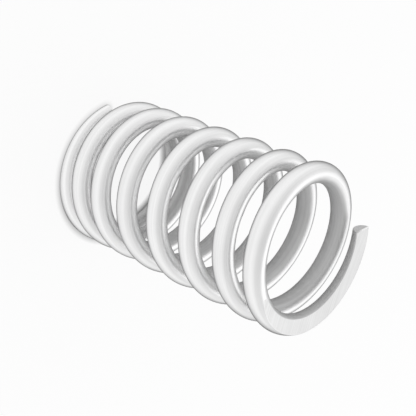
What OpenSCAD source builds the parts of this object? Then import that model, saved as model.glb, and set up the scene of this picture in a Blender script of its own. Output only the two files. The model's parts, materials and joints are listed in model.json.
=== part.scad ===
// Valve spring: one length of round wire coiled right-handed, drawn in at both ends and ground square there.
// It stands on its tightly coiled lower end, with its axis on +Z and its origin at the middle of that seat.
// All sizes are in millimetres.

/* [Coil] */
// Diameter of the round wire
wire_d = 4; // [3:0.1:5]
// Outside diameter of the coil
coil_od = 32; // [26:0.5:40]
// Length between the two ground seats when nothing presses on the spring
free_length = 54.5; // [46:0.5:66]
// Turns of wire from tip to tip
total_turns = 7.725; // [6.5:0.025:9]

/* [Lower end] */
// Turns that stay at the closed pitch
lower_closed_turns = 0.3; // [0:0.05:0.8]
// Turns over which the closed pitch opens out to the working pitch
lower_opening_turns = 2.8; // [1.5:0.1:3.2]
// Gap between the tip and the turn above it
lower_tip_gap = 0.2; // [0.1:0.05:0.6]
// Thickness of wire that the grinding leaves at the tip
lower_tip_t = 1.5; // [0.8:0.1:2.4]

/* [Upper end] */
// Turns over which the working pitch closes in again
upper_closing_turns = 1.4; // [1:0.1:2]
// Thickness of wire that the grinding leaves at the tip
upper_tip_t = 1.9; // [0.8:0.1:2.4]

/* [Smoothness] */
// Facets round the wire
wire_sides = 16; // [12:2:18]
// Sections along each turn of the coil
sections_per_turn = 40; // [32:4:44]

/* [Hidden] */

wire_r = wire_d / 2;
coil_r = (coil_od - wire_d) / 2;

// How far each ground seat lies past the middle of the wire at its tip
lower_ground = wire_r - lower_tip_t;
upper_ground = wire_r - upper_tip_t;

// Turns at which the pitch begins and ends its rise at the lower end, and begins its fall at the upper end
rise_start = lower_closed_turns;
rise_end = lower_closed_turns + lower_opening_turns;
fall_start = total_turns - upper_closing_turns;

// Two heights give the closed and the working pitch. The first turn climbs the wire and the tip gap, and the whole
// wire climbs from seat to seat. Each climb is so many turns of the closed pitch and so many of the working pitch.
first_climb = wire_d + lower_tip_gap;
first_working = pow(1 - rise_start, 2) / (2 * lower_opening_turns);
first_closed = 1 - first_working;
whole_climb = free_length + lower_ground + upper_ground;
whole_closed = rise_start + (lower_opening_turns + upper_closing_turns) / 2;
whole_working = total_turns - whole_closed;
shared = first_closed * whole_working - first_working * whole_closed;
closed_pitch = (first_climb * whole_working - whole_climb * first_working) / shared;
working_pitch = (whole_climb * first_closed - first_climb * whole_closed) / shared;

// How far the coil has opened after t turns, from 0 to 1, and that share summed up over the turns so far
function opened(t) =
    t < rise_start ? 0 :
    t < rise_end ? (t - rise_start) / lower_opening_turns :
    t < fall_start ? 1 : (total_turns - t) / upper_closing_turns;
function opened_turns(t) =
    t < rise_start ? 0 :
    t < rise_end ? pow(t - rise_start, 2) / (2 * lower_opening_turns) :
    t < fall_start ? t - rise_end + lower_opening_turns / 2 :
    whole_working - pow(total_turns - t, 2) / (2 * upper_closing_turns);

// Pitch of the coil after t turns, and the height of the middle of the wire above the lower seat
function pitch(t) = closed_pitch + (working_pitch - closed_pitch) * opened(t);
function height(t) = closed_pitch * t + (working_pitch - closed_pitch) * opened_turns(t) - lower_ground;

// Ring of points round the wire after t turns, square to the run of the wire
function ring(t) =
    let (
        angle = 360 * t,
        lead = atan2(pitch(t), 2 * PI * coil_r),
        outward = [cos(angle), sin(angle), 0],
        upward = [sin(angle) * sin(lead), -cos(angle) * sin(lead), cos(lead)],
        middle = coil_r * outward + [0, 0, height(t)]
    )
    [for (i = [0 : wire_sides - 1])
        let (a = 360 * i / wire_sides)
        middle + wire_r * (cos(a) * outward + sin(a) * upward)];

// Skin over a row of rings, closed at both ends
module skin(rings) {
    n = len(rings[0]);
    last = len(rings) - 1;
    sides = [for (j = [0 : last - 1], i = [0 : n - 1])
        let (near = j * n, far = near + n, next = (i + 1) % n)
        each [[near + i, near + next, far + next], [near + i, far + next, far + i]]];
    first_end = [for (i = [n - 1 : -1 : 0]) i];
    last_end = [for (i = [0 : n - 1]) last * n + i];
    polyhedron([for (r = rings) each r], concat(sides, [first_end, last_end]));
}

// Wire as it leaves the coiling machine, round up to both tips
module coiled_wire() {
    steps = ceil(total_turns * sections_per_turn);
    skin([for (j = [0 : steps]) ring(total_turns * j / steps)]);
}

// Space between the two seats, which the grinding keeps
module between_seats() {
    translate([0, 0, free_length / 2]) cube([2 * coil_od, 2 * coil_od, free_length], center = true);
}

module valve_spring() {
    color("gainsboro")
    intersection() {
        coiled_wire();
        between_seats();
    }
}

valve_spring();
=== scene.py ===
# %% [markdown]
# # A valve spring in satin steel
#
# A valve spring pushes an engine's valve shut after the cam has opened it. It is one length of round
# steel wire, coiled on a mandrel, blasted with fine shot and ground flat at both ends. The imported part
# already has that form as a solid with plain facets. This lesson lays a finer skin over the same sizes,
# gives it the finishes of drawn, blasted and ground steel, and sets up a plain white studio.

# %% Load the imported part
import json
import math

import bpy
import numpy as np
from mathutils import Matrix, Vector


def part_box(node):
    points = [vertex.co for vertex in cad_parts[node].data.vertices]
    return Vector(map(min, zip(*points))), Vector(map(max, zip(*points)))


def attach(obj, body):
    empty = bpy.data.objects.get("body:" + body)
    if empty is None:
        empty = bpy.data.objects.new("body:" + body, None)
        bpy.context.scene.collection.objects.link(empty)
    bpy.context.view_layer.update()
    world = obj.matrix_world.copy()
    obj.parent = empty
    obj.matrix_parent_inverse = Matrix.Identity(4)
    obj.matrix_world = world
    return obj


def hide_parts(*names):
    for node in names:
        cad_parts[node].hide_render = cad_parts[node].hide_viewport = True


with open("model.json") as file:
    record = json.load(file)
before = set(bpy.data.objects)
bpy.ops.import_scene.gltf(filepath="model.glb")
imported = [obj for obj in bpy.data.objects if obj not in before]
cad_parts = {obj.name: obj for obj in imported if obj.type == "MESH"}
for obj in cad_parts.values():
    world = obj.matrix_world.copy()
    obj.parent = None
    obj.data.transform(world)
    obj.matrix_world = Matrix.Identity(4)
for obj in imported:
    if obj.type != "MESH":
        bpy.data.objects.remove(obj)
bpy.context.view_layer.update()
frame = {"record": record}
MM = 0.001

# %% [markdown]
# ## Sizes
#
# The frame gives the sizes that can be measured on it: the outside of the coil and the free length from
# the part's box, and the inside of the coil from its stated guide mount. The way the coil opens and closes
# along its turns can't be read from a box, so those few values are named here as a spring maker would.

# %% Sizes from the frame, and the coil's own numbers
low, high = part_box("valve_spring")
mounts = {mount["name"]: mount for mount in frame["record"]["mounts"]}
OUTSIDE_R = (high.x - low.x) / 2
INSIDE_R = mounts["inner_guide"]["dims"]["r_mm"] * MM
FREE_LENGTH = high.z - low.z

WIRE_R = (OUTSIDE_R - INSIDE_R) / 2
COIL_R = (OUTSIDE_R + INSIDE_R) / 2

TOTAL_TURNS = 7.725
LOWER_CLOSED_TURNS = 0.3
LOWER_OPENING_TURNS = 2.8
UPPER_CLOSING_TURNS = 1.4
LOWER_TIP_GAP = 0.2 * MM
LOWER_TIP_THICKNESS = 1.5 * MM
UPPER_TIP_THICKNESS = 1.9 * MM
print(f"wire {2 * WIRE_R / MM:.2f} mm, coil {2 * COIL_R / MM:.2f} mm to its middle, {TOTAL_TURNS} turns")

# %% [markdown]
# ## The path of the wire
#
# The middle of the wire runs round a cylinder. What makes it a valve spring and not a plain helix is the
# pitch: the wire starts almost closed at the tight end, opens over nearly three turns, keeps one working
# pitch, and closes again at the other end. The two pitches aren't chosen. They follow from two heights
# that a drawing gives, the gap at the lower tip and the free length, as two equations in two unknowns.

# %% Pitch and height along the wire
RISE_START = LOWER_CLOSED_TURNS
RISE_END = LOWER_CLOSED_TURNS + LOWER_OPENING_TURNS
FALL_START = TOTAL_TURNS - UPPER_CLOSING_TURNS
lower_ground = WIRE_R - LOWER_TIP_THICKNESS
upper_ground = WIRE_R - UPPER_TIP_THICKNESS


def opened(t):
    """Share of the working pitch after t turns: 0 closed, a straight rise, 1 open, a straight fall."""
    return np.interp(t, [RISE_START, RISE_END, FALL_START, TOTAL_TURNS], [0, 1, 1, 0])


def opened_turns(t):
    """Sum of opened from the start to t: half a square on each slope, and a straight line between them."""
    rise = np.clip(t - RISE_START, 0, LOWER_OPENING_TURNS) ** 2 / (2 * LOWER_OPENING_TURNS)
    level = np.clip(t - RISE_END, 0, FALL_START - RISE_END)
    left = np.clip(TOTAL_TURNS - t, 0, UPPER_CLOSING_TURNS)
    fall = (UPPER_CLOSING_TURNS ** 2 - left ** 2) / (2 * UPPER_CLOSING_TURNS)
    return rise + level + fall


# Each row says how many closed and how many working pitches make up one known climb.
first_working, whole_working = opened_turns(1.0), opened_turns(TOTAL_TURNS)
pitches_in = [[1 - first_working, first_working], [TOTAL_TURNS - whole_working, whole_working]]
climbs = [2 * WIRE_R + LOWER_TIP_GAP, FREE_LENGTH + lower_ground + upper_ground]
CLOSED_PITCH, WORKING_PITCH = np.linalg.solve(pitches_in, climbs)


def pitch(t):
    """Climb for one whole turn at the place t turns along."""
    return CLOSED_PITCH + (WORKING_PITCH - CLOSED_PITCH) * opened(t)


def height(t):
    """Height of the wire's middle above the lower seat, the sum of pitch from the start to t."""
    return CLOSED_PITCH * t + (WORKING_PITCH - CLOSED_PITCH) * opened_turns(t) - lower_ground


print(f"closed pitch {CLOSED_PITCH / MM:.3f} mm, working pitch {WORKING_PITCH / MM:.3f} mm")

# %% [markdown]
# ## The ground section
#
# Cut across the wire and it is a disc, except near the tips, where the grinding wheel has taken a slice
# off and left a D. A boolean cut would leave slivers along the edge. Here the D is drawn directly instead,
# with a small rounding where the flat meets the round, as a deburred edge has. Each stretch of the D always
# has the same number of points, so the edges of the flat run along lines of the mesh and stay crisp.

# %% Outline of a ground section
ARC_SIDES, BEND_SIDES, LINE_SIDES = 22, 4, 6
HALF_SIDES = ARC_SIDES + BEND_SIDES + LINE_SIDES
SIDES = 2 * HALF_SIDES
EDGE_R = 0.18 * MM


def ground_section(cut, radius, edge, even):
    """Outline of a disc that keeps what lies above the line y = cut, one outline per row of cut.

    Half of it, from the top: an arc of the disc, a rounding of radius edge that touches both the arc and
    the line, then half of the line. The other half is its mirror image. Where cut is at or under the
    bottom of the disc, the rounding and the line have shrunk to nothing there. The points of such a whole
    disc are spread out again by even, from 0, all points of the arc, to 1, all points at equal angles.
    """
    corner_y = np.maximum(cut, -radius) + edge
    corner_x = np.sqrt(np.maximum((radius - edge) ** 2 - corner_y ** 2, 0))
    touch = np.arctan2(corner_y, corner_x)

    count = np.arange(HALF_SIDES + 1)
    along_arc = np.minimum(count / ARC_SIDES, 1)
    along_bend = np.clip((count - ARC_SIDES) / BEND_SIDES, 0, 1)
    along_line = np.clip((count - ARC_SIDES - BEND_SIDES) / LINE_SIDES, 0, 1)
    along_arc = along_arc + (count / HALF_SIDES - along_arc) * even

    on_arc = np.pi / 2 + along_arc * (np.pi / 2 - touch)
    on_bend = np.pi - touch + along_bend * (np.pi / 2 + touch)
    is_round = (count <= ARC_SIDES) | (even > 0)
    x = np.where(is_round, radius * np.cos(on_arc), edge * np.cos(on_bend) - corner_x * (1 - along_line))
    y = np.where(is_round, radius * np.sin(on_arc), edge * np.sin(on_bend) + corner_y)
    return np.hstack([x, -x[:, -2:0:-1]]), np.hstack([y, y[:, -2:0:-1]])


half_ground = ground_section(np.array([[0.0]]), WIRE_R, EDGE_R, even=0)
print(f"a wire ground to its middle is {(half_ground[1].max() - half_ground[1].min()) / MM:.2f} mm thick")

# %% [markdown]
# ## The wire as one skin
#
# The section is carried along the path, square to it, so the mesh is a grid with turns one way and the way
# round the wire the other. At each tip a few close sections shrink by the edge's radius, which rounds the
# rim of the cut face. The lower seat cuts sections from below and the upper seat from above, and the upper
# ones are the same outlines turned by half a turn.

# %% Carry the section along the path
SECTIONS_PER_TURN = 156
TIP_SECTIONS = 6
EVEN_TURNS = 0.25
SMALLEST_EDGE_R = EDGE_R / 20

tip_bend = np.linspace(0, np.pi / 2, TIP_SECTIONS)
tip_turns = EDGE_R * (1 - np.cos(tip_bend)) / np.hypot(2 * np.pi * COIL_R, CLOSED_PITCH)
tip_inset = EDGE_R * (1 - np.sin(tip_bend))
sections = round(TOTAL_TURNS * SECTIONS_PER_TURN)
between = np.arange(1, sections) * TOTAL_TURNS / sections
turns = np.concatenate([tip_turns, between, TOTAL_TURNS - tip_turns[::-1]])
inset = np.concatenate([tip_inset, 0 * between, tip_inset[::-1]])

angle = 2 * np.pi * turns
lead = np.arctan2(pitch(turns), 2 * np.pi * COIL_R)
nothing = np.zeros_like(turns)
outward = np.stack([np.cos(angle), np.sin(angle), nothing], 1)
upward = np.stack([np.sin(angle) * np.sin(lead), -np.cos(angle) * np.sin(lead), np.cos(lead)], 1)
middle = COIL_R * outward + np.stack([nothing, nothing, height(turns)], 1)

is_lower = turns[:, np.newaxis] < TOTAL_TURNS / 2
past_seat = np.where(is_lower[:, 0], -middle[:, 2], middle[:, 2] - FREE_LENGTH)
cut = (past_seat / np.cos(lead) + inset)[:, np.newaxis]
edge = np.maximum(EDGE_R - inset, SMALLEST_EDGE_R)[:, np.newaxis]
ground_turns = turns[cut[:, 0] > -WIRE_R]
lower_end = ground_turns[ground_turns < TOTAL_TURNS / 2].max()
upper_end = ground_turns[ground_turns > TOTAL_TURNS / 2].min()
even = np.clip(np.minimum(turns - lower_end, upper_end - turns) / EVEN_TURNS, 0, 1)[:, np.newaxis]
across, along = ground_section(cut, (WIRE_R - inset)[:, np.newaxis], edge, even)
across = np.where(is_lower, across, -np.roll(across, SIDES // 2, 1))
along = np.where(is_lower, along, -np.roll(along, SIDES // 2, 1))

points = middle[:, np.newaxis] + across[..., np.newaxis] * outward[:, np.newaxis]
points = points + along[..., np.newaxis] * upward[:, np.newaxis]
print(f"{len(turns)} sections of {SIDES} points, ground for {lower_end:.2f} turns below "
      f"and {TOTAL_TURNS - upper_end:.2f} turns above")

# %% [markdown]
# ## From arrays to a mesh
#
# Each cell of the grid becomes a face, and the first and last sections close the tips. The wire, the faces
# in a seat's plane and the two tips each get a finish of their own, and the last two are shaded flat. Each
# point also stores how far along the wire it is and where it is in its section. Together those are its place
# on the wire before it was coiled, so a pattern made for straight wire will follow the coil with no seam.

# %% Build the mesh
rows = len(turns)
row, side = np.meshgrid(np.arange(rows - 1), np.arange(SIDES), indexing="ij")
here, beside = row * SIDES + side, row * SIDES + (side + 1) % SIDES
walls = np.stack([here, here + SIDES, beside + SIDES, beside], -1).reshape(-1, 4)
first_tip = np.arange(SIDES)
last_tip = first_tip[::-1] + (rows - 1) * SIDES

mesh = bpy.data.meshes.new("spring_wire")
mesh.from_pydata(points.reshape(-1, 3), [], [*walls.tolist(), first_tip.tolist(), last_tip.tolist()])

SAME_HEIGHT = 1e-6 * MM
WIRE, SEAT, TIP = range(3)
wall_heights = points.reshape(-1, 3)[walls, 2]
in_seat = [np.all(np.abs(wall_heights - seat) < SAME_HEIGHT, axis=1) for seat in (0, FREE_LENGTH)]
finish = np.append(np.where(in_seat[0] | in_seat[1], SEAT, WIRE), [TIP, TIP]).astype(np.int32)
mesh.polygons.foreach_set("use_smooth", finish == WIRE)

turn_length = np.hypot(2 * np.pi * COIL_R, pitch(turns))
gone = np.concatenate([[0], np.cumsum(np.diff(turns) * (turn_length[1:] + turn_length[:-1]) / 2)])
straight = np.stack([np.repeat(gone, SIDES), across.ravel(), along.ravel()], 1)
mesh.attributes.new("straight_wire", "FLOAT_VECTOR", "POINT").data.foreach_set("vector", straight.ravel())
mesh.update()

spring = bpy.data.objects.new("spring_wire", mesh)
bpy.context.scene.collection.objects.link(spring)
print(f"{len(finish)} faces, {np.sum(finish == SEAT)} of them ground, {gone[-1] / MM:.0f} mm of wire")

# %% [markdown]
# ## A map that unrolls the wire
#
# When the finishes are turned into pictures for other programs, every face needs a place on a flat sheet.
# An automatic unwrap would tear the coil into many scraps. It is tidier to unroll it as a wire: one strip
# for each turn, the strips side by side, with the tear along the hidden inner side. The two tips are small
# round patches in the room that the last, shorter strip leaves.

# %% Lay out the strips
BAKE_MAP = "OFBake"
STRIPS = math.ceil(TOTAL_TURNS)
STRIP_FILL = 0.92
STRIP_MARGIN = (1 - STRIP_FILL) / 2
TIP_PLACES = (0.84, 0.93)
LAST_STRIP_MIDDLE = 1 - 0.5 / STRIPS

strip = np.floor(turns[row])
start, stop = turns[row] - strip, turns[row + 1] - strip
lower_rim = (side - SIDES // 4) % SIDES
upper_rim = lower_rim + 1
u = np.stack([start, stop, stop, start], -1) * STRIP_FILL + STRIP_MARGIN
v_in_strip = np.stack([lower_rim, lower_rim, upper_rim, upper_rim], -1) / SIDES
v = (strip[..., np.newaxis] + v_in_strip * STRIP_FILL + STRIP_MARGIN) / STRIPS
wall_places = np.stack([u, v], -1).reshape(-1, 2)

scale = STRIP_FILL / np.array([turn_length[0], 2 * np.pi * WIRE_R * STRIPS])
tip_points = np.stack([straight[first_tip, 1:], straight[last_tip, 1:]])
tip_middles = np.array([[[place, LAST_STRIP_MIDDLE]] for place in TIP_PLACES])
tip_places = (tip_points * scale + tip_middles).reshape(-1, 2)
places = np.concatenate([wall_places, tip_places])
mesh.uv_layers.new(name=BAKE_MAP).uv.foreach_set("vector", places.ravel())
print(f"{STRIPS} strips, map from {places.min(0).round(3)} to {places.max(0).round(3)}")

# %% [markdown]
# ## Shared effects
#
# Two effects turn up on more than one finish, so each is a node group with named inputs. One is fine
# parallel lines, which are drawing marks along the wire and wheel marks on the seats: noise that is squeezed
# across the lines and stretched along them. The other is a slow cloud, the unevenness that keeps bare steel
# from looking like paint.

# %% Node groups for tool lines and clouds


def add(tree, kind, links=(), **settings):
    """A node of that kind with its settings. A link is an input and its source, a socket or a value."""
    node = tree.nodes.new(kind)
    for name, value in settings.items():
        setattr(node, name, value)
    for name, source in links:
        if isinstance(source, bpy.types.NodeSocket):
            tree.links.new(source, node.inputs[name])
        else:
            node.inputs[name].default_value = source
    return node


def noise_group(name, detail, roughness):
    """A group that stretches a place by a scale along each axis and reads noise there."""
    group = bpy.data.node_groups.new(name, "ShaderNodeTree")
    group.interface.new_socket("Place", in_out="INPUT", socket_type="NodeSocketVector")
    group.interface.new_socket("Scale", in_out="INPUT", socket_type="NodeSocketVector")
    group.interface.new_socket("Pattern", in_out="OUTPUT", socket_type="NodeSocketFloat")
    given = group.nodes.new("NodeGroupInput").outputs
    pair = [(0, given["Place"]), (1, given["Scale"])]
    stretched = add(group, "ShaderNodeVectorMath", pair, operation="MULTIPLY").outputs[0]
    wanted = [("Vector", stretched), ("Scale", 1.0), ("Detail", detail), ("Roughness", roughness)]
    noise = add(group, "ShaderNodeTexNoise", wanted)
    add(group, "NodeGroupOutput", [("Pattern", noise.outputs[0])])
    return group


tool_lines = noise_group("tool_lines", detail=3.0, roughness=0.6)
steel_cloud = noise_group("steel_cloud", detail=4.0, roughness=0.55)
print("node groups:", [group.name for group in bpy.data.node_groups])

# %% [markdown]
# ## Helpers for the finishes
#
# All the finishes are bare metal, so they start from the same shader. Bare steel with a thin film of oil on
# it reflects less just short of its edges, which draws a fine dark rim round each turn. The shader's
# specular tint is that part of a metal's reflection, so one low value gives the rim in every view.

# %% Bare steel, patterns, ranges and tones
RIM_TINT = 0.08
NOISE_LOW, NOISE_HIGH = 0.3, 0.7
# A Mix node has sockets for numbers, vectors and colours in one row. These are the ones for colours.
MIX_SHARE, MIX_FIRST, MIX_LAST, MIX_RESULT = 0, 6, 7, 2


def bare_steel(name):
    """The node tree of a new metal material, which goes into the wire's next slot."""
    material = bpy.data.materials.new(name)
    material.use_nodes = True
    shader = material.node_tree.nodes["Principled BSDF"]
    shader.inputs["Metallic"].default_value = 1.0
    shader.inputs["Specular Tint"].default_value = (RIM_TINT, RIM_TINT, RIM_TINT, 1)
    mesh.materials.append(material)
    return material.node_tree


def patterned(tree, group, place, *sizes):
    """The pattern of a group at a place, with features of these sizes along the three axes."""
    scale = [1 / size for size in sizes]
    return add(tree, "ShaderNodeGroup", [("Place", place), ("Scale", scale)], node_tree=group).outputs[0]


def ranged(tree, source, first, last, source_first=NOISE_LOW, source_last=NOISE_HIGH):
    """A value that goes evenly from first to last as the source goes from source_first to source_last."""
    ends = [("From Min", source_first), ("From Max", source_last), ("To Min", first), ("To Max", last)]
    return add(tree, "ShaderNodeMapRange", [("Value", source), *ends]).outputs[0]


def reckoned(tree, operation, *terms):
    """The result of one arithmetic step on values or sockets."""
    return add(tree, "ShaderNodeMath", list(enumerate(terms)), operation=operation).outputs[0]


def toned(tree, share, first, last):
    """A colour that goes from first to last with the share. Each of the two is a grey or a colour socket."""
    ends = [(end, end, end, 1) if isinstance(end, float) else end for end in (first, last)]
    links = [(MIX_SHARE, share), (MIX_FIRST, ends[0]), (MIX_LAST, ends[1])]
    return add(tree, "ShaderNodeMix", links, data_type="RGBA").outputs[MIX_RESULT]


def laid_on(tree, tone, roughness, relief, depth):
    """Link a finish to its shader: a tone, a roughness, and a relief whose heights are shares of depth."""
    bump = add(tree, "ShaderNodeBump", [("Height", relief), ("Strength", 1.0), ("Distance", depth)])
    inputs = tree.nodes["Principled BSDF"].inputs
    tree.links.new(tone, inputs["Base Color"])
    tree.links.new(roughness, inputs["Roughness"])
    tree.links.new(bump.outputs[0], inputs["Normal"])


print(f"rim tint {RIM_TINT}")

# %% [markdown]
# ## Drawn and blasted wire
#
# The wire was drawn through a die, which leaves fine lines along it. The coil was then blasted with round
# shot, which covers it in shallow dimples and makes it pale and satin. Shot flies in from outside, so the
# inner side of each turn gets less of it and is left duller and less dimpled. That side is also painted
# darker: painted shade, standing in for the shade inside the coil. How far a point lies towards the axis
# is already stored on it, so that value tells the two sides apart.

# %% Patterns on the wire
DRAWN_LINE_LENGTH, DRAWN_LINE = 40 * MM, 0.38 * MM
WIRE_CLOUD = 5.5 * MM
DIMPLE = 0.16 * MM
# Across the wire, where the painted shade of the inner side begins and where it is full.
PAINTED_SHADE_FROM, PAINTED_SHADE_TO = 0.1 * MM, -1.5 * MM
RAGGED = 0.3 * MM

tree = bare_steel("blasted_wire")
straight_place = add(tree, "ShaderNodeAttribute", attribute_name="straight_wire").outputs["Vector"]
lines = patterned(tree, tool_lines, straight_place, DRAWN_LINE_LENGTH, DRAWN_LINE, DRAWN_LINE)
cloud = patterned(tree, steel_cloud, straight_place, WIRE_CLOUD, WIRE_CLOUD, WIRE_CLOUD)
struck = [("Vector", straight_place), ("Scale", 1 / DIMPLE)]
dimples = add(tree, "ShaderNodeTexVoronoi", struck, feature="SMOOTH_F1").outputs["Distance"]

# Share of painted shade: 0 on the outer side, 1 towards the inner side, its edge made ragged by the cloud.
outwards = add(tree, "ShaderNodeSeparateXYZ", [("Vector", straight_place)]).outputs["Y"]
ragged = reckoned(tree, "MULTIPLY_ADD", cloud, RAGGED, outwards)
painted_shade_share = ranged(tree, ragged, 0.0, 1.0, PAINTED_SHADE_FROM, PAINTED_SHADE_TO)
print(f"lines {DRAWN_LINE / MM:.2f} mm apart, dimples {DIMPLE / MM:.2f} mm wide")

# %% [markdown]
# ## Tone and gloss of the wire
#
# The lines and the cloud together choose a tone, once between the greys of blasted steel and once between
# the darker greys of painted shade, and the share of painted shade fades from one to the other towards the
# inner side. The inner side is rougher and less dimpled as well. The relief is a few thousandths of a
# millimetre deep, as shot leaves it: deeper dimples would make drawn wire look cast.

# %% Finish of the wire
CLOUD_IN_TONE = 0.3
BLASTED_TONES = 0.85, 0.98
# Darker greys painted on the inner side as shade.
PAINTED_SHADE_TONES = 0.56, 0.69
SATIN = 0.28, 0.34
INNER_ROUGHER = 0.3
INNER_DIMPLES = 0.4
LINE_RELIEF = 0.8
DIMPLE_DEPTH = 0.003 * MM

clouded = ranged(tree, cloud, 0.0, CLOUD_IN_TONE)
tone = reckoned(tree, "ADD", clouded, ranged(tree, lines, 0.0, 1 - CLOUD_IN_TONE))
blasted_tone = toned(tree, tone, *BLASTED_TONES)
painted_shade_tone = toned(tree, tone, *PAINTED_SHADE_TONES)
satin = reckoned(tree, "MULTIPLY_ADD", painted_shade_share, INNER_ROUGHER, ranged(tree, cloud, *SATIN))
dimples = reckoned(tree, "MULTIPLY", dimples, ranged(tree, painted_shade_share, 1.0, INNER_DIMPLES, 0, 1))
relief = reckoned(tree, "MULTIPLY_ADD", lines, LINE_RELIEF, dimples)
# The tone fades to the painted shade towards the inner side.
laid_on(tree, toned(tree, painted_shade_share, blasted_tone, painted_shade_tone), satin, relief, DIMPLE_DEPTH)
print(f"{len(tree.nodes)} nodes in the wire's finish")

# %% [markdown]
# ## Ground seats
#
# Both ends are ground by passing the spring between two large wheels. The marks are long flat arcs about
# the wheel's middle, which lies far outside the spring, so the lines run by the distance from that point.
# A little of the place itself is added, so that a line fades along its length and doesn't run for ever.

# %% Finish of the seats
WHEEL_MIDDLE = (-70 * MM, -95 * MM, 0)
WHEEL_LINE, WHEEL_LINE_DEPTH = 0.25 * MM, 0.002 * MM
LINE_FADE = 0.004
SEAT_CLOUD = 4.5 * MM
SEAT_TONES = 0.69, 0.80
SEAT_ROUGHNESS = 0.30, 0.38

tree = bare_steel("ground_seat")
place = add(tree, "ShaderNodeTexCoord").outputs["Object"]
reach = add(tree, "ShaderNodeVectorMath", [(0, place), (1, WHEEL_MIDDLE)], operation="DISTANCE")
arcs = add(tree, "ShaderNodeCombineXYZ", [("X", reach.outputs["Value"])]).outputs[0]
fading = [(0, place), (1, (LINE_FADE, LINE_FADE, LINE_FADE)), (2, arcs)]
line_place = add(tree, "ShaderNodeVectorMath", fading, operation="MULTIPLY_ADD").outputs[0]
lines = patterned(tree, tool_lines, line_place, WHEEL_LINE, WHEEL_LINE, WHEEL_LINE)
cloud = patterned(tree, steel_cloud, place, SEAT_CLOUD, SEAT_CLOUD, SEAT_CLOUD)
ground_tone = toned(tree, ranged(tree, lines, 0.0, 1.0), *SEAT_TONES)
laid_on(tree, ground_tone, ranged(tree, cloud, *SEAT_ROUGHNESS), lines, WHEEL_LINE_DEPTH)
print(f"{len(tree.nodes)} nodes in the seats' finish")

# %% [markdown]
# ## Sheared tips
#
# The wire is cut off by a shear, which drags the steel a little and leaves a dull, grainy face. The same
# cloud at a much finer size is enough for that.

# %% Finish of the tips
GRAIN, GRAIN_DEPTH = 0.35 * MM, 0.02 * MM
TIP_TONES = 0.58, 0.72
TIP_ROUGHNESS = 0.40, 0.50

tree = bare_steel("sheared_tip")
straight_place = add(tree, "ShaderNodeAttribute", attribute_name="straight_wire").outputs["Vector"]
grain = patterned(tree, steel_cloud, straight_place, GRAIN, GRAIN, GRAIN)
sheared_tone = toned(tree, ranged(tree, grain, 0.0, 1.0), *TIP_TONES)
laid_on(tree, sheared_tone, ranged(tree, grain, *TIP_ROUGHNESS), grain, GRAIN_DEPTH)

mesh.polygons.foreach_set("material_index", finish)
mesh.update()
print("finishes:", [material.name for material in mesh.materials])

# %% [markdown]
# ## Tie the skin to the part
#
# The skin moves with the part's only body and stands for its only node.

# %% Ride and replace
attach(spring, "root")
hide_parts("valve_spring")
print("the skin stands for valve_spring")

# %% [markdown]
# ## White floor
#
# The spring stands on a plain white floor. A white floor that is only lit still renders a little grey, and
# more lamps would wash out the steel. So for rays that come from the camera, from a gloss or through glass,
# most of its white is its own. The rest is real light, which leaves the spring's shadow on it. The floor's
# own white is dimmed only where the spring all but touches it, as a contact shadow is. The floor lies a hair
# under the lower seat, because two faces in one plane would flicker.

# %% Floor
FLOOR_HALF = 1.5
FLOOR_Z = -0.01 * MM
FLOOR_GREY = 0.96
FLOOR_GLOW = 0.88
CONTACT_SHADOW = 1.4 * MM

floor_mesh = bpy.data.meshes.new("floor")
corners = [(x * FLOOR_HALF, y * FLOOR_HALF, FLOOR_Z) for x, y in ((-1, -1), (1, -1), (1, 1), (-1, 1))]
floor_mesh.from_pydata(corners, [], [(0, 1, 2, 3)])
floor = bpy.data.objects.new("floor", floor_mesh)
bpy.context.scene.collection.objects.link(floor)

floor_white = bpy.data.materials.new("white_floor")
floor_white.use_nodes = True
tree = floor_white.node_tree
tree.nodes.clear()
rays = tree.nodes.new("ShaderNodeLightPath").outputs
direct = reckoned(tree, "MAXIMUM", rays["Is Camera Ray"], rays["Is Glossy Ray"])
direct = reckoned(tree, "MAXIMUM", direct, rays["Is Transmission Ray"])
glow_share = reckoned(tree, "MULTIPLY", direct, FLOOR_GLOW)
matt = add(tree, "ShaderNodeBsdfDiffuse", [("Color", (FLOOR_GREY, FLOOR_GREY, FLOOR_GREY, 1))])
contact = add(tree, "ShaderNodeAmbientOcclusion", [("Distance", CONTACT_SHADOW)])
own_white = add(tree, "ShaderNodeEmission", [("Color", contact.outputs["Color"]), ("Strength", 1.0)])
mixed = [(0, glow_share), (1, matt.outputs[0]), (2, own_white.outputs[0])]
seen = add(tree, "ShaderNodeMixShader", mixed)
add(tree, "ShaderNodeOutputMaterial", [("Surface", seen.outputs[0])])
floor_mesh.materials.append(floor_white)
print(f"floor {2 * FLOOR_HALF:.0f} m wide, {FLOOR_GLOW:.0%} of its white its own")

# %% [markdown]
# ## Sky and lamp
#
# Metal shows its surroundings, so the light is mostly a sky: white at the horizon and softer overhead. That
# gives each turn a bright outer side that falls off towards its top. One wide lamp behind and above is what
# the ground end and the tops of the turns reflect towards the camera.

# %% Sky and lamp
HORIZON = 1.08
ZENITH = 0.70
LAMP_POWER = 0.12
LAMP_SIZE = 0.30
LAMP_REACH = 0.35
LAMP_WAY = Vector((-0.513, -0.570, 0.642))

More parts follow.
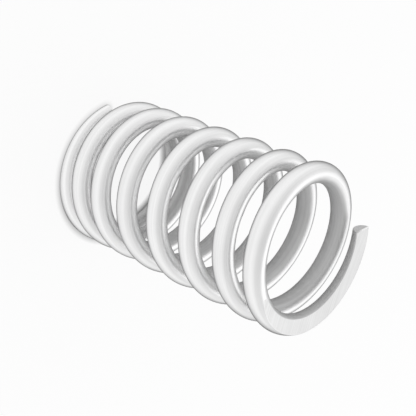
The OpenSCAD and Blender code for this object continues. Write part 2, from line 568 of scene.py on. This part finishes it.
world = bpy.data.worlds.new("white_sky")
bpy.context.scene.world = world
world.use_nodes = True
tree = world.node_tree
tree.nodes.clear()
way = add(tree, "ShaderNodeTexCoord").outputs["Generated"]
steepness = add(tree, "ShaderNodeSeparateXYZ", [("Vector", way)]).outputs["Z"]
brightness = ranged(tree, steepness, HORIZON, ZENITH, 0, 1)
sky = add(tree, "ShaderNodeBackground", [("Color", (1, 1, 1, 1)), ("Strength", brightness)])
add(tree, "ShaderNodeOutputWorld", [("Surface", sky.outputs[0])])

spring_middle = Vector((0, 0, FREE_LENGTH / 2))
lamp_data = bpy.data.lights.new("wide_lamp", "AREA")
lamp_data.energy = LAMP_POWER
lamp_data.size = LAMP_SIZE
lamp = bpy.data.objects.new("wide_lamp", lamp_data)
lamp.location = spring_middle + LAMP_REACH * LAMP_WAY
lamp.rotation_euler = (-LAMP_WAY).to_track_quat("-Z", "Y").to_euler()
lamp.visible_camera = False
bpy.context.scene.collection.objects.link(lamp)
print(f"sky from {HORIZON} down to {ZENITH}, lamp of {LAMP_POWER} W")

# %% [markdown]
# ## Camera
#
# In the picture the spring lies on its side, seen from 25 degrees above and turned 45 degrees, with its
# open end towards the viewer. The part itself stands on its tight end. So the view is worked out about the
# spring's own axis: one direction across the coil is up in the picture, and the camera is rolled to match.

# %% Camera at the picture's angle
PICTURE_UP = math.radians(-8.56)
ABOVE = math.radians(25)
AROUND = math.radians(45)
DISTANCE = 169.7 * MM
LENS = 74.16
NEAREST, FARTHEST = 1 * MM, 10

picture_up = Vector((math.cos(PICTURE_UP), math.sin(PICTURE_UP), 0))
axis = Vector((0, 0, 1))
sideways = axis.cross(picture_up)
level_view = math.cos(AROUND) * axis + math.sin(AROUND) * sideways
back = math.cos(ABOVE) * level_view + math.sin(ABOVE) * picture_up
right = picture_up.cross(back).normalized()
turned = Matrix((right, back.cross(right), back)).transposed()

camera_data = bpy.data.cameras.new("camera")
camera_data.lens = LENS
camera_data.clip_start = NEAREST
camera_data.clip_end = FARTHEST
camera = bpy.data.objects.new("camera", camera_data)
camera.matrix_world = Matrix.Translation(spring_middle + DISTANCE * back) @ turned.to_4x4()
bpy.context.scene.collection.objects.link(camera)
bpy.context.scene.camera = camera
bpy.context.scene.view_settings.view_transform = "Standard"
print("camera at", [round(v / MM, 1) for v in camera.matrix_world.translation], "mm")
